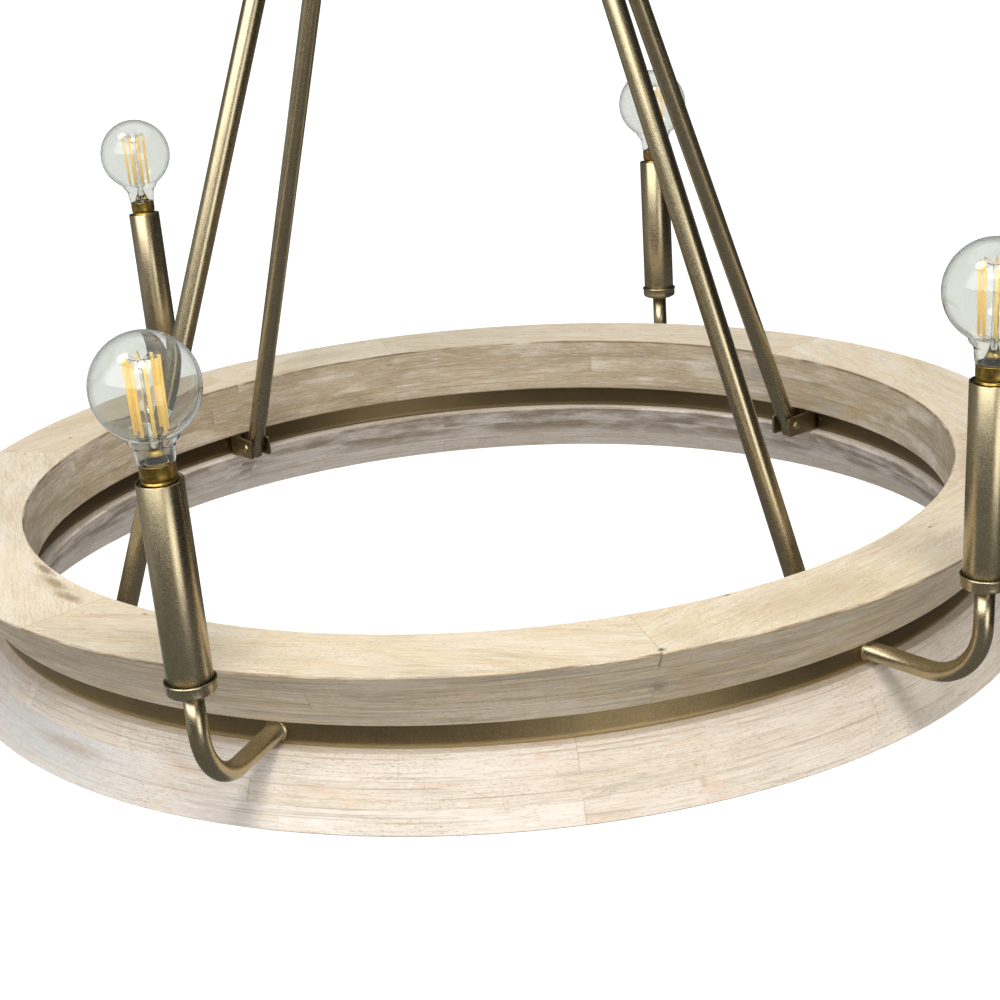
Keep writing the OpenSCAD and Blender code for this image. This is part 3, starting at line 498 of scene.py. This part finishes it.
RIVET_UP = 5
PLUG_APART = 16
rivet_mesh = turned_form("rivet_head", [(0, 0), (3.5, 0), (3.4, 0.7), (2.5, 1.3), (0, 1.6)], 24)
rivet_mesh.materials.append(screw_brass)
plug_mesh = turned_form("rivet_plug", [(0, -1), (2.6, -1), (2.6, 0.25), (2.2, 0.4), (0, 0.4)], 24)
plug_mesh.materials.append(hoop_brass)
for i in range(1, RODS + 1):
    stand = about_z(i, RODS) @ Matrix.Translation((PIVOT_R * MM, 0, HOOP_Z)) @ Matrix.Rotation(-ROD_LEAN, 4, "Y")
    place(f"rod_tube_{i}", rod_mesh, stand, "fixture", "brass", f"rod_{i}")
    level = about_z(i, RODS) @ Matrix.Translation((0, 0, HOOP_Z))
    place(f"clevis_{i}", clevis_mesh, level, "fixture", "brass", f"ring_clevis_{i}")
    inward = Matrix.Rotation(-math.pi / 2, 4, "Y")
    for k, z in enumerate((-RIVET_UP, RIVET_UP)):
        seat = level @ Matrix.Translation(((CLEVIS_BACK - EAR_T) * MM, 0, z * MM)) @ inward
        stands_for = ["clevis_rivets"] if (i, k) == (1, 0) else []
        place(f"clevis_rivet_{i}_{k + 1}", rivet_mesh, seat, "fixture", "screws", *stands_for)
        turn_out = Matrix.Rotation((2 * k - 1) * PLUG_APART / HOOP_IN, 4, "Z")
        seat = level @ turn_out @ Matrix.Translation((HOOP_IN * MM, 0, 0)) @ inward
        place(f"hoop_plug_{i}_{k + 1}", plug_mesh, seat, "fixture", "brass")


# ---------- candles ----------

# heights are above the hoop's middle; a candle leans out by 2.5 degrees about the middle of its arm's bend
CANDLE_R, BEND, LEAN = 605.5, 55, 2.5
CUP_FOOT, SLEEVE_FOOT, SLEEVE_HEAD, STEM_HEAD = 87, 89.6, 253.1, 205
ARM_R, WELD_R, STEM_R = 8, 9.8, 4.9
# from the weld on the hoop, round the bend, and up through the cup as the thin threaded stem
arm_path = [(HOOP_R - CANDLE_R + out, 0, 0, radius)
            for out, radius in ((-0.3, WELD_R), (2, WELD_R), (3, WELD_R - 0.8), (3.4, ARM_R))]
for k in range(25):
    a = (90 - LEAN) * k / 24
    arm_path.append((-BEND + BEND * math.sin(math.radians(a)), BEND - BEND * math.cos(math.radians(a)), a, ARM_R))
sine, cosine = math.sin(math.radians(LEAN)), math.cos(math.radians(LEAN))
for height, radius in ((CUP_FOOT, ARM_R), (CUP_FOOT, STEM_R), (STEM_HEAD, STEM_R)):
    arm_path.append((-BEND + BEND * cosine + (height - BEND) * sine, BEND - BEND * sine + (height - BEND) * cosine,
                     90 - LEAN, radius))
arm_mesh = bent_tube("bent_arm", arm_path)
arm_mesh.materials.append(satin_brass)

# a foot bead, a rounded belly and a rolled rim
CUP_R, CUP_IN, CUP_H, CUP_FLOOR, BELLY_R = 19, 18, 12, SLEEVE_FOOT - CUP_FOOT, 3
cup_line = [(0, 0), (CUP_R - 4.3, 0), (CUP_R - 3.8, 0.5), (CUP_R - 4.3, 1)]
cup_line += [(CUP_R - BELLY_R + BELLY_R * math.cos(a), 1 + BELLY_R + BELLY_R * math.sin(a))
             for a in (math.radians(-90 + 11.25 * k) for k in range(9))]
cup_line += [(CUP_R, CUP_H - 2.2)]
cup_line += [(CUP_R + math.cos(a), CUP_H - 1 + math.sin(a)) for a in (math.radians(-80 + 25 * k) for k in range(8))]
cup_line += [(CUP_IN, CUP_H - 1), (CUP_IN, CUP_FLOOR), (0, CUP_FLOOR)]
cup_mesh = turned_form("turned_cup", [(r, CUP_FOOT + z) for r, z in cup_line], 72)
cup_mesh.materials.append(turned_brass)
SLEEVE_R, SLEEVE_IN = 17.5, 16.3
sleeve_mesh = turned_form("candle_sleeve", [
    (SLEEVE_R - 0.3, SLEEVE_FOOT), (SLEEVE_R, SLEEVE_FOOT + 0.3), (SLEEVE_R, SLEEVE_HEAD - 0.4),
    (SLEEVE_R - 0.3, SLEEVE_HEAD), (SLEEVE_IN + 0.3, SLEEVE_HEAD), (SLEEVE_IN, SLEEVE_HEAD - 0.3),
    (SLEEVE_IN, SLEEVE_FOOT)], 96, closed=True)
sleeve_mesh.materials.append(turned_brass)
# the lampholder and its rim are slim enough for the leaning sleeve to be lifted straight up
RIM, RIM_H, HOLDER_R, HOLDER_IN, HOLDER_H, HOLDER_DEPTH = SLEEVE_HEAD - 1.2, 1.2, 14.8, 13.5, 60, 50
socket_mesh = turned_form("lampholder", [
    (HOLDER_R, RIM - HOLDER_H), (HOLDER_R, RIM - RIM_H), (HOLDER_IN, RIM - RIM_H), (HOLDER_IN, RIM - HOLDER_DEPTH),
    (5, RIM - HOLDER_DEPTH), (5, RIM - HOLDER_H)], 64, closed=True)
socket_mesh.materials.append(phenolic)
rim_mesh = turned_form("lampholder_rim", [
    (HOLDER_R, RIM - RIM_H), (HOLDER_R + 0.2, RIM - RIM_H / 2), (HOLDER_R, RIM), (HOLDER_IN + 0.1, RIM),
    (HOLDER_IN, RIM - RIM_H)], 64, closed=True)
rim_mesh.materials.append(screw_brass)
NUT_FOOT, NUT_H, NUT_R, NUT_IN = CUP_FOOT + 2.7, 4, 8, 5
nut_mesh = turned_form("cup_nut", [(NUT_R, NUT_FOOT), (NUT_R, NUT_FOOT + NUT_H), (NUT_IN, NUT_FOOT + NUT_H),
                                   (NUT_IN, NUT_FOOT)], 6, closed=True)
nut_mesh.materials.append(screw_brass)


def candle_place(i):
    """Takes an upright candle at the origin to its place on the wheel, leaning out."""
    bend = Matrix.Translation(((CANDLE_R - BEND) * MM, 0, HOOP_Z + BEND * MM))
    from_bend = Matrix.Translation((BEND * MM, 0, -BEND * MM))
    return about_z(i, LIGHTS) @ bend @ Matrix.Rotation(math.radians(LEAN), 4, "Y") @ from_bend


for i in range(1, LIGHTS + 1):
    seat = candle_place(i)
    foot_of_arm = about_z(i, LIGHTS) @ Matrix.Translation((CANDLE_R * MM, 0, HOOP_Z))
    place(f"bent_arm_{i}", arm_mesh, foot_of_arm, "fixture", "brass", f"arm_{i}")
    place(f"turned_cup_{i}", cup_mesh, seat, "fixture", "brass", f"cup_{i}")
    place(f"candle_sleeve_{i}", sleeve_mesh, seat, f"sleeve_{i}", "brass", f"sleeve_{i}")
    first = i == 1
    place(f"lampholder_{i}", socket_mesh, seat, "fixture", "socket", *(["sockets"] if first else []))
    place(f"lampholder_rim_{i}", rim_mesh, seat, "fixture", "screws")
    place(f"cup_nut_{i}", nut_mesh, seat, "fixture", "screws", *(["cup_nuts"] if first else []))


# ---------- lamps ----------

def clear_glass(name, limb="#565b58"):
    """Blown lamp glass: clear and thin. Its limb, seen edge on, is darker and grey: a painted reflection of the dark
    studio round it.
    """
    material, tree = new_tree(name)
    facing = add(tree, "LayerWeight", {"Blend": 0.3}).outputs["Facing"]
    colour = wash(tree, "#e4e6e2", limb, facing, 0.35, 1)
    add(tree, "OutputMaterial", {"Surface": add(tree, "BsdfPrincipled", {
        "Base Color": colour, "Roughness": 0.0, "IOR": 1.5, "Transmission Weight": 1.0})})
    return material


def lamp_cap_brass(name):
    """Rolled brass lamp cap, yellower than the fixture, browned where it was soldered."""
    material, tree = new_tree(name)
    spots = add(tree, "TexNoise", {"Vector": place_mm(tree), "Scale": 0.4, "Detail": 4, "Roughness": 0.7}).outputs[0]
    colour = add(tree, "ValToRGB", {"Fac": spots}, [(0.35, "#b89c52"), (0.75, "#6a5428")])
    add(tree, "OutputMaterial", {"Surface": add(tree, "BsdfPrincipled", {
        "Base Color": colour, "Metallic": 1.0, "Roughness": 0.34})})
    return material


def filament_phosphor(name):
    """LED filament: silicone loaded with yellow phosphor, matt and strong in colour, unlit. A little light of its own
    stands in for what the globe throws onto it."""
    material, tree = new_tree(name)
    grain = add(tree, "TexNoise", {"Vector": place_mm(tree), "Scale": 0.6, "Detail": 2}).outputs[0]
    colour = add(tree, "ValToRGB", {"Fac": grain}, [(0.3, "#ffdf8c"), (0.7, "#f9c865")])
    add(tree, "OutputMaterial", {"Surface": add(tree, "BsdfPrincipled", {
        "Base Color": colour, "Roughness": 0.5, "Emission Color": "#ffcf6a", "Emission Strength": 0.35})})
    return material


GLOBE_R, GLASS_T, CAP_R, CAP_H, TIP_H = 39.75, 0.8, 13.4, 30, 3.5
CAP_TOP = SLEEVE_HEAD + 14
CAP_FOOT = CAP_TOP - CAP_H
GLOBE_Z = CAP_TOP + 15 + GLOBE_R
# the latitude where the globe meets its neck
NECK_TURN = math.radians(-59)


def envelope(inset):
    """The lamp glass's outline: a neck slim enough for the lifted sleeve, a tight crease, and the globe."""
    line = [(r - inset, CAP_TOP + z) for r, z in (
        (CAP_R - 1.5, -6), (CAP_R + 0.1, -0.5), (13.9, 1), (14.4, 4), (14.8, 8), (15, 11.2), (15.6, 12.8), (16.8, 14.4),
        (18.4, 16))]
    r = GLOBE_R - inset
    for k in range(49):
        a = NECK_TURN + (math.pi / 2 - NECK_TURN) * k / 48
        line.append((max(r * math.cos(a), 0), GLOBE_Z + r * math.sin(a)))
    return line


glass_mesh = turned_form("lamp_glass", envelope(0) + envelope(GLASS_T)[::-1], 96, closed=True)

# contact, insulator, four turns of rolled thread, a plain skirt and its rolled edge
THREAD_PITCH, THREAD_TURNS, TURN_STEPS = 3.62, 4, 8
cap_line = [(0, CAP_FOOT), (3.2, CAP_FOOT + 0.2), (4.4, CAP_FOOT + 1.2), (9.5, CAP_FOOT + 2.4),
            (12.2, CAP_FOOT + TIP_H)]
for k in range(THREAD_TURNS * TURN_STEPS + 1):
    cap_line.append((CAP_R - 0.8 + 0.5 * math.cos(2 * math.pi * k / TURN_STEPS),
                     CAP_FOOT + TIP_H + 1.4 + THREAD_PITCH * k / TURN_STEPS))
cap_line += [(CAP_R - 0.1, CAP_TOP - 8.5), (CAP_R - 0.1, CAP_TOP - 1.6), (CAP_R + 0.15, CAP_TOP - 1.1),
             (CAP_R + 0.15, CAP_TOP - 0.5), (CAP_R - 0.3, CAP_TOP - 0.2), (CAP_R - 1, CAP_TOP - 7), (0, CAP_TOP - 7)]
cap_mesh = turned_form("lamp_cap", cap_line, 72)

STICKS = 8
CAGE_R, STICK_R, WIRE_R = 12.5, 1.3, 0.25


def add_stick(form, start, end, radius, sides=10):
    """Adds a straight stick between two points to a bmesh, all in millimetres."""
    axis = Vector(end) - Vector(start)
    matrix = Matrix.Translation((Vector(start) + Vector(end)) / 2) @ axis.to_track_quat("Z", "Y").to_matrix().to_4x4()
    bmesh.ops.create_cone(form, cap_ends=True, segments=sides, radius1=radius, radius2=radius, depth=axis.length,
                          matrix=matrix)


def in_metres(form, name):
    """Turns a bmesh in millimetres into a smooth mesh in metres."""
    bmesh.ops.scale(form, vec=(MM, MM, MM), verts=form.verts)
    mesh = bpy.data.meshes.new(name)
    form.to_mesh(mesh)
    form.free()
    mesh.shade_smooth()
    return mesh


sticks = bmesh.new()
wires = bmesh.new()
stem_top = GLOBE_Z + 19
for k in range(STICKS):
    # turned a little, so that no stick hides the one behind it
    a = 2 * math.pi * (k + 0.5) / STICKS + 0.3
    out = Vector((math.cos(a), math.sin(a), 0))
    top = CAGE_R * out + Vector((0, 0, GLOBE_Z + 21))
    base = CAGE_R * 0.92 * out + Vector((0, 0, GLOBE_Z - 33))
    add_stick(sticks, base, top, STICK_R)
    above, below = top + Vector((0, 0, 2)), base - Vector((0, 0, 2))
    for start, end in ((2.5 * out + Vector((0, 0, stem_top)), above), (above, top),
                       (2.5 * out + Vector((0, 0, GLOBE_Z - 38)), below), (below, base)):
        add_stick(wires, start, end, WIRE_R, 6)
stem_line = [(9, CAP_TOP - 0.5), (7, CAP_TOP + 4), (4.2, CAP_TOP + 10), (3, CAP_TOP + 16), (2.6, GLOBE_Z - 20),
             (2.4, GLOBE_Z + 10), (3.2, stem_top - 2), (2.6, stem_top), (0, stem_top + 0.6)]

lamp_parts = [("glass", glass_mesh, clear_glass("blown_lamp_glass")),
              ("cap", cap_mesh, lamp_cap_brass("lamp_cap_brass")),
              ("sticks", in_metres(sticks, "filament_sticks"), filament_phosphor("filament_phosphor")),
              ("wires", in_metres(wires, "filament_wires"), plated_steel("nickel_wire", "#c9c8c4", 0.25)),
              ("stem", turned_form("lamp_stem", stem_line, 32), clear_glass("stem_glass", "#b9bdba"))]
for part, mesh, finish in lamp_parts:
    mesh.materials.append(finish)
    for i in range(1, LIGHTS + 1):
        place(f"lamp_{part}_{i}", mesh, candle_place(i), f"bulb_{i}", "bulb",
              *([f"bulb_{i}"] if part == "glass" else []))


# ---------- studio ----------

FLOOR_Z = -3.2
bpy.ops.mesh.primitive_grid_add(x_subdivisions=8, y_subdivisions=8, size=240, location=(0, 0, FLOOR_Z))
floor = bpy.context.object
floor.name = "studio_floor"


def seen_directly(tree):
    """1 for rays from the camera, a reflection or through glass, and 0 for rays that light the object."""
    path = add(tree, "LightPath")
    first = add(tree, "Math", {0: path.outputs["Is Camera Ray"], 1: path.outputs["Is Glossy Ray"]}, operation="MAXIMUM")
    return add(tree, "Math", {0: first, 1: path.outputs["Is Transmission Ray"]}, operation="MAXIMUM")


# the white paper still takes the object's shadow; as a light it is only a mid grey
paper, tree = new_tree("white_paper_floor")
lit = add(tree, "BsdfDiffuse", {"Color": "#c4c4c4"})
glow = add(tree, "Emission", {"Color": "#ffffff", "Strength": 0.8})
both = add(tree, "AddShader", {0: lit, 1: glow})
add(tree, "OutputMaterial", {"Surface": add(tree, "MixShader", {0: seen_directly(tree), 1: lit, 2: both})})
floor.data.materials.append(paper)

world, tree = new_tree("studio", "worlds")
bpy.context.scene.world = world
strength = add(tree, "MapRange", {"Value": seen_directly(tree), "To Min": 0.34, "To Max": 1.0})
add(tree, "OutputWorld", {"Surface": add(tree, "Background", {"Color": "#ffffff", "Strength": strength})})


def lamp(name, kind, bearing, height, distance, energy, code, **settings):
    """A studio light at a bearing and height in degrees, aimed at the middle of the wheel."""
    data = bpy.data.lights.new(name, kind)
    data.energy = energy
    data.color = linear(code)[:3]
    for key, value in settings.items():
        setattr(data, key, value)
    light = bpy.data.objects.new(name, data)
    bearing, height = math.radians(bearing), math.radians(height)
    toward = Vector((math.cos(bearing) * math.cos(height), math.sin(bearing) * math.cos(height), math.sin(height)))
    light.location = Vector((0, 0, RING_TOP)) + distance * toward
    light.rotation_euler = toward.to_track_quat("Z", "Y").to_euler()
    bpy.context.scene.collection.objects.link(light)
    return light


lamp("key", "SUN", -32, 60, 5, 0.95, "#fff8ec", angle=math.radians(15))
lamp("fill", "SUN", -118, 60, 5, 0.6, "#f2f6ff", angle=math.radians(20))
lamp("front", "SUN", -30, 14, 5, 0.4, "#fffaf4", angle=math.radians(25))
lamp("softbox", "AREA", -40, 48, 2.23, 21, "#fff8ec", size=0.9).visible_glossy = False


CAMERA_BEARING = math.radians(-38)


def glossy_card(name, corners, faces, stops, strength):
    """A card that only reflections see, like the flags and boards round a studio table: dark on most sides, with
    bright boards that draw the light band on every tube. stops are (place round the wheel, colour)."""
    mesh = bpy.data.meshes.new(name)
    mesh.from_pydata(corners, [], faces)
    card = bpy.data.objects.new(name, mesh)
    bpy.context.scene.collection.objects.link(card)
    card.visible_camera = card.visible_diffuse = card.visible_shadow = card.visible_transmission = False
    felt, tree = new_tree(name)
    split = add(tree, "SeparateXYZ", {0: add(tree, "TexCoord").outputs["Object"]})
    bearing = add(tree, "Math", {0: split.outputs[1], 1: split.outputs[0]}, operation="ARCTAN2")
    bearing = add(tree, "Math", {0: bearing, 1: CAMERA_BEARING}, operation="SUBTRACT")
    # -180 to 180 degrees from the camera's bearing, as 0 to 1
    place_of = add(tree, "Math", {0: bearing, 1: -math.pi, 2: math.pi}, operation="WRAP")
    place_of = add(tree, "MapRange", {"Value": place_of, "From Min": -math.pi, "From Max": math.pi})
    level = add(tree, "ValToRGB", {"Fac": place_of}, stops)
    add(tree, "OutputMaterial", {"Surface": add(tree, "Emission", {"Color": level, "Strength": strength})})
    mesh.materials.append(felt)


ARC = 48
WALL_R, TABLE_Z, FLAG_TOP, BOARD_TOP = 5, -3.1, 0.2, 4.5


def ring_of(height):
    """The corners of the cards' round plan at a height in metres."""
    return [(WALL_R * math.cos(2 * math.pi * k / ARC), WALL_R * math.sin(2 * math.pi * k / ARC), height)
            for k in range(ARC)]


def glossy_wall(name, foot, head, stops, strength):
    """A round wall of such cards, from foot to head in metres."""
    glossy_card(name, ring_of(foot) + ring_of(head),
                [(k, (k + 1) % ARC, ARC + (k + 1) % ARC, ARC + k) for k in range(ARC)], stops, strength)


# places: 0.5 is behind the camera, 0.583 is 30 degrees to its right, 0 and 1 are behind the object
glossy_wall("studio_flags", TABLE_Z, FLAG_TOP,
            [(0, "#181818"), (0.25, "#707070"), (0.36, "#363636"), (0.52, "#363636"), (0.555, "#ffffff"),
             (0.585, "#ffffff"), (0.62, "#282828"), (0.74, "#161616"), (0.86, "#343434"), (1, "#181818")], 2.9)
# the rods lean back, so they mirror what hangs higher: a broad white board to the camera's left
glossy_wall("studio_boards", FLAG_TOP, BOARD_TOP,
            [(0, "#202020"), (0.2, "#303030"), (0.26, "#404040"), (0.32, "#ffffff"), (0.49, "#ffffff"),
             (0.53, "#282828"), (0.75, "#181818"), (1, "#202020")], 4.2)
glossy_card("studio_table", ring_of(TABLE_Z), [tuple(range(ARC))], [(0, "#707070"), (1, "#707070")], 1.1)

bpy.context.scene.view_settings.view_transform = "Standard"
